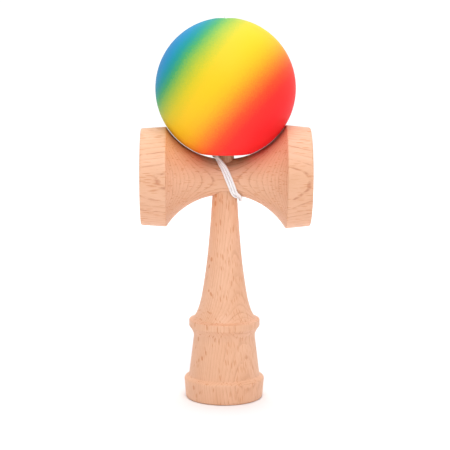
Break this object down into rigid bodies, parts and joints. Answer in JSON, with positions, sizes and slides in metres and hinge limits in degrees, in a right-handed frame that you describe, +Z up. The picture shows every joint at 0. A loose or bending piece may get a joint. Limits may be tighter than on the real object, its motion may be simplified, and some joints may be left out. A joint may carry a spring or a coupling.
{
  "type": "kendama",
  "caption": "Cup-and-ball toy: a turned beech handle with a spike and base cup, a cross-piece cupped at both ends, and a painted ball tied on by a cord.",
  "frame": {"origin": "centre of the base cup's rim plane, on the ken's axis, where the kendama stands", "axes": "+Z up along the ken, +X along the cross-piece towards the big cup, -Y the front where the cord crosses the waist"},
  "size_m": [0.0727, 0.0615, 0.1661],
  "materials": {
    "beech_handle": "fine sanded beech, matte oil, grain along the handle",
    "beech_cross_piece": "fine sanded beech, matte oil, grain along the cross-piece",
    "rubber_paint": "matte rubbery paint, blue to yellow to red fade",
    "braided_cord": "fine white braided cord",
    "beech_bead": "small turned beech bead"
  },
  "bodies": {
    "ken": {"ken": "beech_handle", "sarado": "beech_cross_piece", "string_wound": "braided_cord", "string_slack": "braided_cord", "ken_knot": "braided_cord"},
    "string_end": {"string_over_tama": "braided_cord", "string_bead": "beech_bead", "tama_knot": "braided_cord"},
    "tama": {"tama": "rubber_paint"}
  },
  "joints": [
    {"name": "tama_lift", "type": "slide", "parent": "ken", "child": "string_end", "axis": [0, 0, 1], "range_m": [0, 0.04]},
    {"name": "tama_spin", "type": "hinge", "parent": "string_end", "child": "tama", "pos_m": [0.00025, 0, 0.1351], "axis": [0, 0, 1], "continuous": true}
  ]
}
